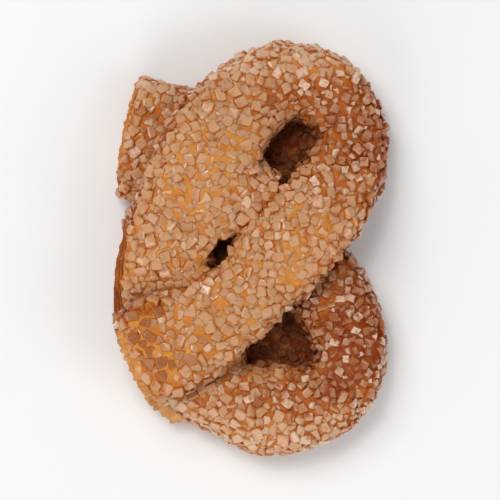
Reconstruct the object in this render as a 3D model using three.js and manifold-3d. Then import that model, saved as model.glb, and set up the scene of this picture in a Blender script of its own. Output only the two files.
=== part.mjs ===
// A sugared puff pastry twist: one strip of dough crossed over itself like a pretzel,
// baked until its layers puff, and crusted with coarse sugar crystals.
//
// Millimetres, +Z up. The twist lies flat on z = 0. Its two round lobes face +X, its two
// cut ends lie at -X, and its longest side runs along Y.

import * as THREE from "three";
import { MeshSurfaceSampler } from "three/addons/math/MeshSurfaceSampler.js";
import { mergeVertices } from "three/addons/utils/BufferGeometryUtils.js";
import Module from "manifold-3d";

const wasm = await Module();
wasm.setup();

// The baked strip. An arm is flat and square, and a lobe puffs up round.
const riding = { foot: 8.8, crown: 21.8, squareness: 3.5 }; // lies over another stretch
const bridging = { foot: 3.6, crown: 21.2, squareness: 3.5 }; // sags between what carries it
const sloping = { foot: 1.6, crown: 18.2, squareness: 2.7 };
const settling = { foot: 0.4, crown: 20.2, squareness: 3.0 }; // comes down to the baking sheet
const lobed = { foot: -0.7, crown: 15.4, squareness: 2.25 }; // lies on the baking sheet
const tucked = { foot: -0.7, crown: 11.4, squareness: 2.8 }; // lies under another stretch
const swollen = { foot: -0.7, crown: 20.4, squareness: 2.8 }; // wells up between the two arms
const innerSpread = 0.12; // share by which the foot spreads into a lobe's hole
const outerSpread = 0.07; // and outwards

// The surface.
const layerStep = 0.34; // the layers' edges stand in and out by this along the sides
const sideReach = 0.7; // and show where the section's angle has a cosine above this
const lumpDepth = 0.5;
const lumpLength = 9;

// The facets.
const ringSpacing = 4.2;
const sectionPoints = 20;
const mergeDistance = 1e-3;

// The sugar. Only the largest crystals are solid here, spread evenly.
const crystalCount = 178;
const crystalGap = 5.9; // least distance between two crystals' centres
const crystalLength = [2.3, 3.1];
const crystalWidth = [1.9, 2.6];
const crystalThickness = [1.8, 2.3];
const crystalSunk = 0.25; // share of its thickness by which a crystal's centre lies below the crust
const crystalTilt = 0.5; // radians
const bareFoot = 3.2; // no crystal's centre is lower than this
const steepest = -0.2; // nor where the crust's normal points down more than this
const triesPerCrystal = 60;
const sugarSeed = 41;

// Where the middle of the strip runs, from the end that lies on top to the end that is tucked
// under, with its width and the form of its section.
const route = [
  { x: -27.9, y: -25.4, width: 24.0, form: riding }, // upper cut end
  { x: -14.3, y: -19.4, width: 22.0, form: riding },
  { x: 0.3, y: -7.8, width: 20.2, form: bridging },
  { x: 14.1, y: 7.0, width: 20.8, form: riding }, // crosses the lower arm
  { x: 21.9, y: 18.0, width: 18.8, form: sloping },
  { x: 24.2, y: 28.2, width: 16.2, form: lobed }, // upper lobe
  { x: 18.6, y: 37.2, width: 17.6, form: lobed },
  { x: 7.9, y: 39.8, width: 18.6, form: lobed },
  { x: -2.6, y: 33.6, width: 20.0, form: sloping },
  { x: -9.4, y: 24.2, width: 22.9, form: riding }, // rides over the tucked end
  { x: -14.7, y: 11.2, width: 23.6, form: riding },
  { x: -21.6, y: -1.8, width: 19.6, form: settling },
  { x: -22.5, y: -15.2, width: 18.4, form: tucked }, // passes under the upper cut end
  { x: -16.7, y: -28.2, width: 18.0, form: tucked },
  { x: -6.1, y: -34.8, width: 16.8, form: lobed },
  { x: 3.9, y: -37.5, width: 21.8, form: lobed },
  { x: 16.3, y: -36.4, width: 18.2, form: lobed },
  { x: 24.0, y: -27.4, width: 16.4, form: lobed }, // lower lobe
  { x: 22.4, y: -17.0, width: 18.0, form: lobed },
  { x: 14.5, y: -5.0, width: 19.2, form: tucked }, // passes under the upper arm
  { x: 0.7, y: 10.2, width: 19.0, form: swollen },
  { x: -13.1, y: 21.8, width: 22.0, form: tucked },
  { x: -22.2, y: 25.4, width: 28.4, form: tucked },
  { x: -29.6, y: 26.8, width: 29.0, form: tucked }, // tucked cut end
];

// Rounded lumps of dough that have spread between the stretches: the middle, the half sizes, and
// the turn about Z in degrees.
const fills = [
  { at: [8.2, 24.6, 0], half: [10.5, 10.5, 4.4], turn: 0 }, // floor of the upper lobe's hole
  { at: [7.6, -21.6, 0], half: [13.6, 12.5, 4.4], turn: 0 }, // floor of the lower lobe's hole
  { at: [-7.0, -1.6, 0], half: [7.5, 7.5, 8.0], turn: 0 }, // floor of the pit
  { at: [-14.0, -7.6, 14.6], half: [8.0, 3.6, 4.6], turn: 26 }, // groove beside the upper arm
  { at: [-3.4, 11.6, 15.0], half: [9.0, 4.4, 4.8], turn: 60 }, // groove beside the belly
  { at: [-17.4, -35.4, 3.0], half: [5.4, 3.8, 5.6], turn: -35 }, // pressed out under the upper end
  { at: [-9.6, -30.2, 7.6], half: [9.4, 3.6, 5.4], turn: 33 }, // below the upper arm's edge
  { at: [-16.2, 34.4, 2.0], half: [6.4, 4.8, 7.0], turn: -12 }, // beside the tucked end
];
const fillSides = 10;
const fillRings = 6;

// The pit left where three stretches meet, as a tapered plug that is cut away.
const pit = { x: -8.3, y: -0.4, foot: 6.5, crown: 25.0, footRadius: 2.2, crownRadius: 3.3 };
const pitStretch = [0.8, 1.2]; // its lengths along X and Y, as shares of a round one's
const pitSides = 10;

// How a cut end draws in: over this length, by this share of the section.
const upperEnd = { length: 3.0, narrowing: 0.2 };
const tuckedEnd = { length: 5.0, narrowing: 0.26 };

// The route is cut here, so that no stretch meets itself. Each number is a place in the route.
const cuts = [0, 7, 15, route.length - 1];
const lap = 0.42; // each stretch runs on past a cut by this many places
const lapNarrowing = 0.06; // and draws in there, inside its neighbour

const up = new THREE.Vector3(0, 0, 1);
const mix = THREE.MathUtils.lerp;

// A random number generator that gives the same draws each time.
function seededRandom(seed) {
  let state = seed >>> 0;
  return () => {
    state = (Math.imul(state, 1664525) + 1013904223) >>> 0;
    return state / 2 ** 32;
  };
}

// The strip's section at a place on the route, from 0 at the upper end to 1 at the tucked one.
function makeStrip() {
  const middle = new THREE.CatmullRomCurve3(
    route.map(({ x, y, form }) => new THREE.Vector3(x, y, (form.foot + form.crown) / 2)),
    false,
    "centripetal",
  );
  const forms = new THREE.CatmullRomCurve3(
    route.map(({ width, form }) => {
      return new THREE.Vector3(width / 2, (form.crown - form.foot) / 2, form.squareness);
    }),
  );
  return {
    length: middle.getLength(),
    at(t) {
      const centre = middle.getPoint(t);
      const along = middle.getTangent(t);
      const side = new THREE.Vector3().crossVectors(up, along).normalize();
      const top = new THREE.Vector3().crossVectors(along, side).normalize();
      const { x: halfWidth, y: halfHeight, z: squareness } = forms.getPoint(t);
      return { centre, side, top, halfWidth, halfHeight, squareness };
    },
  };
}

// The share of the section that is left near a cut end.
function drawnIn(toEnd, end) {
  return 1 - end.narrowing * Math.max(0, 1 - toEnd / end.length) ** 2;
}

// A rounded rectangle of half size 1 by 1, as an angle that runs round it.
function sectionRadius(angle, squareness) {
  const across = Math.abs(Math.cos(angle)) ** squareness;
  const upward = Math.abs(Math.sin(angle)) ** squareness;
  return (across + upward) ** (-1 / squareness);
}

// How far the crust stands out at a point, in soft lumps. The factors keep the lumps out of line.
function lumpAt(point) {
  const { x, y, z } = point.clone().multiplyScalar((2 * Math.PI) / lumpLength);
  const broad = Math.sin(x + 0.7 * Math.sin(y)) * Math.cos(0.9 * y - 0.4 * z);
  const fine = Math.sin(1.9 * x - 1.3 * y + z) * Math.sin(1.7 * y + 0.8 * z + 1.2);
  return lumpDepth * (0.6 * broad + 0.5 * fine);
}

// One stretch of the strip: a unit prism whose points are moved out to the strip's surface.
function stretchGeometry(strip, cut) {
  const lastPlace = route.length - 1;
  const from = Math.max(0, cuts[cut] - lap);
  const to = Math.min(lastPlace, cuts[cut + 1] + lap);
  const steps = Math.round(((to - from) / lastPlace) * (strip.length / ringSpacing));
  const outline = new THREE.Shape();
  for (let i = 0; i < sectionPoints; i++) {
    const angle = (2 * Math.PI * i) / sectionPoints;
    outline[i ? "lineTo" : "moveTo"](Math.cos(angle), Math.sin(angle));
  }
  const geometry = new THREE.ExtrudeGeometry(outline, { steps, depth: 1, bevelEnabled: false });
  geometry.deleteAttribute("normal");
  geometry.deleteAttribute("uv");

  const position = geometry.getAttribute("position");
  const point = new THREE.Vector3();
  for (let i = 0; i < position.count; i++) {
    point.fromBufferAttribute(position, i);
    const angle = Math.atan2(point.y, point.x);
    const step = Math.round(point.z * steps);
    const lapped = (step === 0 && from > 0) || (step === steps && to < lastPlace);
    const t = mix(from, to, step / steps) / lastPlace;
    position.setXYZ(i, ...surfacePoint(strip, t, angle, lapped ? 1 - lapNarrowing : 1));
  }
  return mergeVertices(geometry, mergeDistance);
}

// A point of the strip's crust. Its left side faces the lobes' holes all along the route.
function surfacePoint(strip, t, angle, shareLeft) {
  const { centre, side, top, halfWidth, halfHeight, squareness } = strip.at(t);
  const endShare =
    drawnIn(t * strip.length, upperEnd) * drawnIn((1 - t) * strip.length, tuckedEnd);
  const radius = sectionRadius(angle, squareness) * endShare * shareLeft;
  const roundness = (riding.squareness - squareness) / (riding.squareness - lobed.squareness);
  const spread = Math.cos(angle) > 0 ? innerSpread * roundness : outerSpread;
  const low = Math.max(0, -Math.sin(angle) * radius);
  const point = centre
    .clone()
    .addScaledVector(side, radius * Math.cos(angle) * halfWidth * (1 + spread * low))
    .addScaledVector(top, radius * Math.sin(angle) * halfHeight);

  const outward = side
    .clone()
    .multiplyScalar(Math.cos(angle) / halfWidth)
    .addScaledVector(top, Math.sin(angle) / halfHeight)
    .normalize();
  const turn = Math.round((angle / (2 * Math.PI)) * sectionPoints);
  const onSide = Math.abs(Math.cos(angle)) > sideReach ? 1 : 0;
  const layer = onSide * (turn % 2 ? -layerStep : layerStep);
  return point.addScaledVector(outward, layer + lumpAt(point)).toArray();
}

// A closed geometry as a solid that can be joined and cut.
function solidOf(geometry) {
  return new wasm.Manifold(
    new wasm.Mesh({
      numProp: 3,
      vertProperties: new Float32Array(geometry.getAttribute("position").array),
      triVerts: new Uint32Array(geometry.index.array),
    }),
  );
}

function geometryOf(solid) {
  const mesh = solid.getMesh();
  const points = new Float32Array(mesh.numVert * 3);
  for (let i = 0; i < mesh.numVert; i++)
    points.set(mesh.vertProperties.subarray(i * mesh.numProp, i * mesh.numProp + 3), i * 3);
  return new THREE.BufferGeometry()
    .setAttribute("position", new THREE.BufferAttribute(points, 3))
    .setIndex(new THREE.BufferAttribute(mesh.triVerts, 1));
}

// A join leaves points all but on top of each other and loose scraps. The points are merged, and
// only the largest body is kept.
function tidied(solid) {
  const bodies = solidOf(mergeVertices(geometryOf(solid), mergeDistance)).decompose();
  return bodies.reduce((a, b) => (b.volume() > a.volume() ? b : a));
}

// A closed box as a solid, placed by a matrix.
function boxSolid(width, depth, height, matrix) {
  const box = new THREE.BoxGeometry(width, depth, height).applyMatrix4(matrix);
  box.deleteAttribute("normal");
  box.deleteAttribute("uv");
  return solidOf(mergeVertices(box, mergeDistance));
}

function fillSolid({ at, half, turn }) {
  const lump = new THREE.SphereGeometry(1, fillSides, fillRings);
  lump.deleteAttribute("normal");
  lump.deleteAttribute("uv");
  lump.rotateX(Math.PI / 2).scale(...half);
  lump.rotateZ(THREE.MathUtils.degToRad(turn)).translate(...at);
  return solidOf(mergeVertices(lump, mergeDistance));
}

function pitSolid() {
  const depth = pit.crown - pit.foot;
  const plug = new THREE.CylinderGeometry(pit.crownRadius, pit.footRadius, depth, pitSides);
  plug.deleteAttribute("normal");
  plug.deleteAttribute("uv");
  plug.rotateX(Math.PI / 2).scale(...pitStretch, 1);
  plug.translate(pit.x, pit.y, pit.foot + depth / 2);
  return solidOf(mergeVertices(plug, mergeDistance));
}

// The dough: the stretches and fills joined, the pit opened, and the foot cut flat.
function makeDough() {
  const strip = makeStrip();
  const stretches = cuts.slice(1).map((_, cut) => solidOf(stretchGeometry(strip, cut)));
  const underside = boxSolid(200, 200, 20, new THREE.Matrix4().makeTranslation(0, 0, -10));
  const joined = wasm.Manifold.union([...stretches, ...fills.map(fillSolid)]);
  return tidied(joined.subtract(pitSolid()).subtract(underside));
}

// Sugar crystals, each a small block half sunk in the crust.
function makeCrystals(dough) {
  const random = seededRandom(sugarSeed);
  const between = ([low, high]) => mix(low, high, random());
  const flat = geometryOf(dough).toNonIndexed();
  flat.computeVertexNormals();
  const sampler = new MeshSurfaceSampler(new THREE.Mesh(flat)).setRandomGenerator(random).build();

  const centres = [];
  const crystals = [];
  const point = new THREE.Vector3();
  const normal = new THREE.Vector3();
  for (let tries = 0; tries < triesPerCrystal * crystalCount; tries++) {
    if (crystals.length === crystalCount) break;
    sampler.sample(point, normal);
    if (point.z < bareFoot || normal.z < steepest) continue;
    if (centres.some((c) => c.distanceTo(point) < crystalGap)) continue;
    centres.push(point.clone());

    const thickness = between(crystalThickness);
    const turn = new THREE.Quaternion()
      .setFromUnitVectors(up, normal.normalize())
      .multiply(new THREE.Quaternion().setFromAxisAngle(up, Math.PI * random()))
      .multiply(
        new THREE.Quaternion().setFromEuler(
          new THREE.Euler(crystalTilt * (random() - 0.5), crystalTilt * (random() - 0.5), 0),
        ),
      );
    const centre = point.clone().addScaledVector(normal, -crystalSunk * thickness);
    const matrix = new THREE.Matrix4().compose(centre, turn, new THREE.Vector3(1, 1, 1));
    crystals.push(boxSolid(between(crystalLength), between(crystalWidth), thickness, matrix));
  }
  return crystals;
}

// The dough and its crystals, fused into one solid.
function makeTwist() {
  const dough = makeDough();
  const whole = tidied(wasm.Manifold.union([dough, ...makeCrystals(dough)]));
  const crust = new THREE.MeshStandardMaterial({ color: 0xc4834f, roughness: 0.62, metalness: 0 });
  const mesh = new THREE.Mesh(geometryOf(whole), crust);
  mesh.name = "pastry_twist";
  return mesh;
}

const group = new THREE.Group();
group.add(makeTwist());

export default group;
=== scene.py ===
# A sugared puff pastry twist on a pale floor: the baked strip of dough, its flaky cut ends, and
# its coarse sugar as real crystals. Shapes are worked out in millimetres and written in metres.
import math

import bmesh
import bpy
import numpy as np
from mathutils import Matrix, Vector, bvhtree, kdtree


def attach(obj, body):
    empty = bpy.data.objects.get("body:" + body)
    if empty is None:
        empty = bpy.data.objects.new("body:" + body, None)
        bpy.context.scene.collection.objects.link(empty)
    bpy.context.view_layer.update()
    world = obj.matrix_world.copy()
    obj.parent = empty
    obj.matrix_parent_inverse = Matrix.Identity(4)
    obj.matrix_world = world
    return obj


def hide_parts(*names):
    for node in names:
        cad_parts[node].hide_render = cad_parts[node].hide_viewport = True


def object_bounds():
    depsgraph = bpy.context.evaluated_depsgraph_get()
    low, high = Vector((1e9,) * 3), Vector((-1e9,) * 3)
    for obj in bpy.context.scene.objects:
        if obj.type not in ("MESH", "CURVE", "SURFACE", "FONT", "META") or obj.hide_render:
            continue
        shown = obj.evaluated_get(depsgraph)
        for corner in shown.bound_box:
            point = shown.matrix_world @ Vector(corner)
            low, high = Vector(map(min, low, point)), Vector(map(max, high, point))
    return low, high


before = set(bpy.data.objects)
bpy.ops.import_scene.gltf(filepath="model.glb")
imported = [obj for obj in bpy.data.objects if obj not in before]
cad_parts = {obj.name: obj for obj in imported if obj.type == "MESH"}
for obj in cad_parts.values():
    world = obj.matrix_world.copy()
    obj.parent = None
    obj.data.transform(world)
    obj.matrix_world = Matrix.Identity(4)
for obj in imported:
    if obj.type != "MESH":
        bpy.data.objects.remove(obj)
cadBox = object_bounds()
scene = bpy.context.scene
mm = 0.001

camera = {
    "distance": 1.0,
    "lean": 5.0,  # degrees from straight above, towards the cut ends
    "lens": 302.0,
    "target": (0.0, 0.0, 0.010),
}

lights = [  # name, place, size, power, colour
    ("key_softbox", (-0.50, 0.50, 1.20), 0.85, 9.9, (1.0, 0.985, 0.96)),
    ("fill_softbox", (0.80, -0.45, 0.80), 0.80, 3.2, (0.97, 0.985, 1.0)),
    ("low_softbox", (-0.40, -0.95, 0.45), 0.70, 4.0, (1.0, 0.99, 0.98)),
    ("glint_spot", (-0.30, 0.40, 1.10), 0.10, 0.9, (1.0, 0.99, 0.97)),
]
roomLight = 0.37


def aimAt(piece, target):
    piece.rotation_euler = (Vector(target) - piece.location).to_track_quat("-Z", "Y").to_euler()


def makeCamera():
    made = bpy.data.objects.new("overhead_camera", bpy.data.cameras.new("overhead_camera"))
    scene.collection.objects.link(made)
    lean = math.radians(camera["lean"])
    away = Vector((-math.sin(lean), 0, math.cos(lean))) * camera["distance"]
    made.location = Vector(camera["target"]) + away
    made.rotation_euler = (0, -lean, 0)
    made.data.lens = camera["lens"]
    made.data.sensor_width = 36
    made.data.clip_start = 0.01
    scene.camera = made


def makeLights():
    for name, place, size, power, colour in lights:
        lamp = bpy.data.lights.new(name, "AREA")
        lamp.shape = "DISK"
        lamp.size = size
        lamp.energy = power
        lamp.color = colour
        made = bpy.data.objects.new(name, lamp)
        scene.collection.objects.link(made)
        made.location = place
        aimAt(made, camera["target"])
    room = bpy.data.worlds.new("pale_room")
    room.use_nodes = True
    room.node_tree.nodes["Background"].inputs["Color"].default_value = (1, 1, 1, 1)
    room.node_tree.nodes["Background"].inputs["Strength"].default_value = roomLight
    scene.world = room
    scene.view_settings.view_transform = "Standard"


makeCamera()
makeLights()
print("camera and lights are placed")


# The strip of dough, as the solid has it.
forms = {  # foot, crown and squareness of the section
    "riding": (8.8, 21.8, 3.5),
    "bridging": (3.6, 21.2, 3.5),
    "sloping": (1.6, 18.2, 2.7),
    "settling": (0.4, 20.2, 3.0),
    "lobed": (-0.7, 15.4, 2.25),
    "tucked": (-0.7, 11.4, 2.8),
    "swollen": (-0.7, 20.4, 2.8),
}

strip = {
    "innerSpread": 0.12,
    "outerSpread": 0.07,
    "lumpDepth": 0.5,
    "lumpLength": 9.0,
    "upperEnd": (3.0, 0.2),  # length over which the end draws in, and by what share
    "tuckedEnd": (5.0, 0.26),
    "cuts": (0, 7, 15, 23),
    "lap": 0.42,
    "lapNarrowing": 0.06,
    "ringSpacing": 1.0,
    "sectionPoints": 84,
    "lengthSamples": 2001,
}

route = [  # x, y, width, form, and how far the crust has browned
    (-27.9, -25.4, 24.0, "riding", 0.05),
    (-14.3, -19.4, 22.0, "riding", 0.12),
    (0.3, -7.8, 20.2, "bridging", 0.10),
    (14.1, 7.0, 20.8, "riding", 0.20),
    (21.9, 18.0, 18.8, "sloping", 0.64),
    (24.2, 28.2, 16.2, "lobed", 0.90),
    (18.6, 37.2, 17.6, "lobed", 0.80),
    (7.9, 39.8, 18.6, "lobed", 0.62),
    (-2.6, 33.6, 20.0, "sloping", 0.30),
    (-9.4, 24.2, 22.9, "riding", 0.12),
    (-14.7, 11.2, 23.6, "riding", 0.10),
    (-21.6, -1.8, 19.6, "settling", 0.16),
    (-22.5, -15.2, 18.4, "tucked", 0.50),
    (-16.7, -28.2, 18.0, "tucked", 0.52),
    (-6.1, -34.8, 16.8, "lobed", 0.42),
    (3.9, -37.5, 21.8, "lobed", 0.52),
    (16.3, -36.4, 18.2, "lobed", 0.88),
    (24.0, -27.4, 16.4, "lobed", 1.12),
    (22.4, -17.0, 18.0, "lobed", 1.06),
    (14.5, -5.0, 19.2, "tucked", 0.60),
    (0.7, 10.2, 19.0, "swollen", 0.30),
    (-13.1, 21.8, 22.0, "tucked", 0.45),
    (-22.2, 25.4, 28.4, "tucked", 0.36),
    (-29.6, 26.8, 29.0, "tucked", 0.38),
]

fills = [  # middle, half sizes, and turn in degrees, of dough that has spread between the stretches
    ((8.2, 24.6, 0.0), (10.5, 10.5, 4.4), 0),  # the floor of the upper lobe's hole
    ((7.6, -21.6, 0.0), (13.6, 12.5, 4.4), 0),
    ((-7.0, -1.6, 0.0), (7.5, 7.5, 8.0), 0),
    ((-14.0, -7.6, 14.6), (8.0, 3.6, 4.6), 26),  # along the groove beside the upper arm
    ((-3.4, 11.6, 15.0), (9.0, 4.4, 4.8), 60),
    ((-17.4, -35.4, 3.0), (5.4, 3.8, 5.6), -35),  # pressed out under the upper end
    ((-9.6, -30.2, 7.6), (9.8, 4.2, 6.6), 33),  # below the upper arm's edge
    ((-16.2, 34.4, 2.0), (6.4, 4.8, 7.0), -12),  # beside the tucked end
]

# A gap left where three stretches meet: longer along Y, by the shares in stretch.
pit = {"middle": (-8.3, -0.4), "radius": 2.2, "reach": 5.5, "stretch": (0.72, 1.2)}


def unit(vectors):
    return vectors / np.maximum(np.linalg.norm(vectors, axis=-1, keepdims=True), 1e-9)


def smooth(low, high, values):
    share = np.clip((values - low) / (high - low), 0, 1)
    return share * share * (3 - 2 * share)


def blend(low, high, share):
    return low + (high - low) * share


# A centripetal Catmull-Rom curve through points, at places from 0 to 1.
def curveThrough(points, places):
    points = np.asarray(points, float)
    padded = np.vstack([2 * points[0] - points[1], points, 2 * points[-1] - points[-2]])
    scaled = np.clip(np.asarray(places, float), 0, 1) * (len(points) - 1)
    start = np.minimum(scaled.astype(int), len(points) - 2)
    share = (scaled - start)[:, None]
    p0, p1, p2, p3 = (padded[start + i] for i in range(4))
    gaps = [np.sqrt(np.linalg.norm(b - a, axis=1))[:, None] for a, b in ((p0, p1), (p1, p2), (p2, p3))]
    d1 = np.where(gaps[1] < 1e-4, 1, gaps[1])
    d0 = np.where(gaps[0] < 1e-4, d1, gaps[0])
    d2 = np.where(gaps[2] < 1e-4, d1, gaps[2])
    t1 = d1 * ((p1 - p0) / d0 - (p2 - p0) / (d0 + d1) + (p2 - p1) / d1)
    t2 = d1 * ((p2 - p1) / d1 - (p3 - p1) / (d1 + d2) + (p3 - p2) / d2)
    cubic = 2 * p1 - 2 * p2 + t1 + t2
    square = -3 * p1 + 3 * p2 - 2 * t1 - t2
    return p1 + share * (t1 + share * (square + share * cubic))


middlePoints = [(x, y, (forms[f][0] + forms[f][1]) / 2) for x, y, _, f, _ in route]
sectionSizes = [(w / 2, (forms[f][1] - forms[f][0]) / 2, forms[f][2]) for _, _, w, f, _ in route]
browning = [browned for *_, browned in route]
lastPlace = len(route) - 1
middleLine = curveThrough(middlePoints, np.linspace(0, 1, strip["lengthSamples"]))
stripLength = np.linalg.norm(np.diff(middleLine, axis=0), axis=1).sum()


# The strip's own axes and half sizes at places along it.
def stripFrames(places):
    step = 1e-4
    centre = curveThrough(middlePoints, places)
    ahead = curveThrough(middlePoints, np.minimum(places + step, 1))
    behind = curveThrough(middlePoints, np.maximum(places - step, 0))
    along = unit(ahead - behind)
    side = unit(np.cross([0.0, 0.0, 1.0], along))
    top = unit(np.cross(along, side))
    return centre, along, side, top, curveThrough(sectionSizes, places)


def drawnIn(toEnd, end):
    return 1 - end[1] * np.maximum(0, 1 - toEnd / end[0]) ** 2


def endShare(places):
    upper = drawnIn(places * stripLength, strip["upperEnd"])
    return upper * drawnIn((1 - places) * stripLength, strip["tuckedEnd"])


# Soft lumps in the crust.
def lumpAt(points):
    x, y, z = (points * (2 * math.pi / strip["lumpLength"])).T
    broad = np.sin(x + 0.7 * np.sin(y)) * np.cos(0.9 * y - 0.4 * z)
    fine = np.sin(1.9 * x - 1.3 * y + z) * np.sin(1.7 * y + 0.8 * z + 1.2)
    return strip["lumpDepth"] * (0.6 * broad + 0.5 * fine)


# Points of the crust, at places along the strip and angles round it.
def crustPoints(places, angles, share=1.0):
    centre, _, side, top, sizes = stripFrames(places)
    halfWidth, halfHeight, squareness = sizes.T
    across, upward = np.cos(angles), np.sin(angles)
    radius = (np.abs(across) ** squareness + np.abs(upward) ** squareness) ** (-1 / squareness)
    radius = radius * share * endShare(places)
    squarest, roundest = forms["riding"][2], forms["lobed"][2]
    roundness = (squarest - squareness) / (squarest - roundest)
    spread = np.where(across > 0, strip["innerSpread"] * roundness, strip["outerSpread"])
    reach = radius * across * halfWidth * (1 + spread * np.maximum(0, -upward * radius))
    points = centre + side * reach[:, None] + top * (radius * upward * halfHeight)[:, None]
    outward = unit(side * (across / halfWidth)[:, None] + top * (upward / halfHeight)[:, None])
    return points + outward * lumpAt(points)[:, None]


# Gradient noise at points, from about -1 to 1, with a grain in millimetres.
def grainNoise(points, grain, seed):
    cells, shift = 256, 100  # how many cells it takes to repeat, and by how many it is moved
    draws = np.random.default_rng(seed)
    order = np.tile(draws.permutation(cells), 3)
    slopes = unit(draws.normal(size=(cells, 3)))
    scaled = np.asarray(points, float) / grain + shift
    cell = np.floor(scaled).astype(int)
    inside = scaled - cell
    fade = inside ** 3 * (inside * (6 * inside - 15) + 10)
    total = np.zeros(len(scaled))
    for corner in np.ndindex(2, 2, 2):
        x, y, z = ((cell + corner) % cells).T
        slope = slopes[order[order[order[x] + y] + z]]
        weight = np.prod(np.where(corner, fade, 1 - fade), axis=1)
        total += weight * ((inside - corner) * slope).sum(1)
    return total * 1.6  # brings it to about -1 to 1


def layeredNoise(points, grain, seed, octaves=3):
    return sum(grainNoise(points, grain / 2 ** i, seed + i) / 2 ** i for i in range(octaves))


# A mesh piece from points in millimetres. Each array of faces has faces of one size, and the
# values are numbers at its points that its material reads.
def makePiece(name, points, faceArrays, values, material, rounded=True, scale=mm):
    mesh = bpy.data.meshes.new(name)
    faceArrays = [np.asarray(faces, np.int32) for faces in faceArrays if len(faces)]
    corners = np.concatenate([faces.ravel() for faces in faceArrays])
    sizes = np.concatenate([np.full(len(faces), faces.shape[1]) for faces in faceArrays])
    mesh.vertices.add(len(points))
    mesh.vertices.foreach_set("co", (np.asarray(points) * scale).astype(np.float32).ravel())
    mesh.loops.add(len(corners))
    mesh.loops.foreach_set("vertex_index", corners)
    mesh.polygons.add(len(sizes))
    starts = np.concatenate([[0], np.cumsum(sizes)[:-1]]).astype(np.int32)
    mesh.polygons.foreach_set("loop_start", starts)
    mesh.update(calc_edges=True)
    mesh.polygons.foreach_set("use_smooth", np.full(len(sizes), rounded))
    for key, numbers in values.items():
        made = mesh.attributes.new(key, "FLOAT", "POINT")
        made.data.foreach_set("value", np.asarray(numbers).astype(np.float32))
    mesh.validate()
    piece = bpy.data.objects.new(name, mesh)
    scene.collection.objects.link(piece)
    if material:
        mesh.materials.append(material)
    return piece


def readVectors(items, name):
    values = np.empty(len(items) * 3, np.float32)
    items.foreach_get(name, values)
    return values.reshape(-1, 3).astype(float)


def readQuads(mesh):
    corners = np.empty(len(mesh.loops), np.int32)
    mesh.loops.foreach_get("vertex_index", corners)
    return corners.reshape(-1, 4)


# The points and faces of a shape, which is then let go.
def arraysOf(shape):
    shape.verts.index_update()
    points = np.array([v.co for v in shape.verts])
    faces = np.array([[v.index for v in f.verts] for f in shape.faces])
    shape.free()
    return points, faces


def treeOf(points):
    tree = kdtree.KDTree(len(points))
    for index, point in enumerate(points):
        tree.insert(point, index)
    tree.balance()
    return tree


dough = {
    "voxel": 0.50,
    "softening": 3,  # rounds of smoothing where stretches have baked together
    "layerPitch": 1.45,  # between two layers' edges along the sides
    "layerDepth": 0.30,
    "layerWander": (0.55, 0.25),  # broad and fine wandering of the layers, as shares of the pitch
    "wrinkleDepth": 0.30,
    "wrinkleGrain": 5,
    "crumbDepth": 0.13,
    "crumbGrain": 1.7,
    "hiddenDepth": 0.4,  # how lumpy the dough in the holes is
    "footDepth": 0.45,  # how far the underside's hollows rise off the baking sheet
    "footGrain": 6,
    "footHeight": 0.8,  # below which the skin belongs to the underside
    "meniscus": 0.28,  # syrup that has crept up a crystal
    "syrupReach": (0.5, 1.0),  # how far it creeps out, as shares of the crystal's width
    "seed": 7,
}


# Places and angles of rings of points round a stretch of the strip.
def ringsBetween(first, end, rings, count):
    angles = np.arange(count) * 2 * math.pi / count
    return np.repeat(np.linspace(first, end, rings), count), np.tile(angles, rings)


def stretchMesh(cut):
    first = max(0, strip["cuts"][cut] - strip["lap"]) / lastPlace
    end = min(lastPlace, strip["cuts"][cut + 1] + strip["lap"]) / lastPlace
    rings = round((end - first) * stripLength / strip["ringSpacing"])
    count = strip["sectionPoints"]
    places, angles = ringsBetween(first, end, rings + 1, count)
    share = np.ones(len(places))
    if first > 0:
        share[:count] -= strip["lapNarrowing"]
    if end < 1:
        share[-count:] -= strip["lapNarrowing"]
    points = crustPoints(places, angles, share)
    ring, turned = np.arange(count), (np.arange(count) + 1) % count
    starts = np.arange(rings)[:, None] * count
    near, beside = (starts + ring).ravel(), (starts + turned).ravel()
    sides = np.column_stack([near, beside, beside + count, near + count])
    farRing = rings * count
    firstCap = np.column_stack([turned, ring, np.full(count, len(points))])
    lastCap = np.column_stack([farRing + ring, farRing + turned, np.full(count, len(points) + 1)])
    middles = [points[:count].mean(0), points[-count:].mean(0)]
    return np.vstack([points, middles]), [sides, firstCap, lastCap]


# A rounded lump of dough that fills a gap.
def fillMesh(middle, halfSizes, turn):
    shape = bmesh.new()
    bmesh.ops.create_icosphere(shape, subdivisions=4, radius=1)
    points, faces = arraysOf(shape)
    cosine, sine = math.cos(math.radians(turn)), math.sin(math.radians(turn))
    turned = points * halfSizes @ np.array([[cosine, sine, 0], [-sine, cosine, 0], [0, 0, 1]])
    return turned + middle, [faces]


# Moves points out of the pit, and those round it a little less.
def openPit(points):
    apart = (points[:, :2] - pit["middle"]) / pit["stretch"]
    distance = np.maximum(np.linalg.norm(apart, axis=1), 1e-6)
    share = np.clip(distance / pit["reach"], 0, 1)
    moved = pit["radius"] + share * (pit["reach"] - pit["radius"])
    high = smooth(4.0, 9.0, points[:, 2])
    grown = blend(distance, np.maximum(moved, distance), high)
    points = points.copy()
    points[:, :2] = pit["middle"] + apart * (grown / distance)[:, None] * pit["stretch"]
    return points


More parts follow.
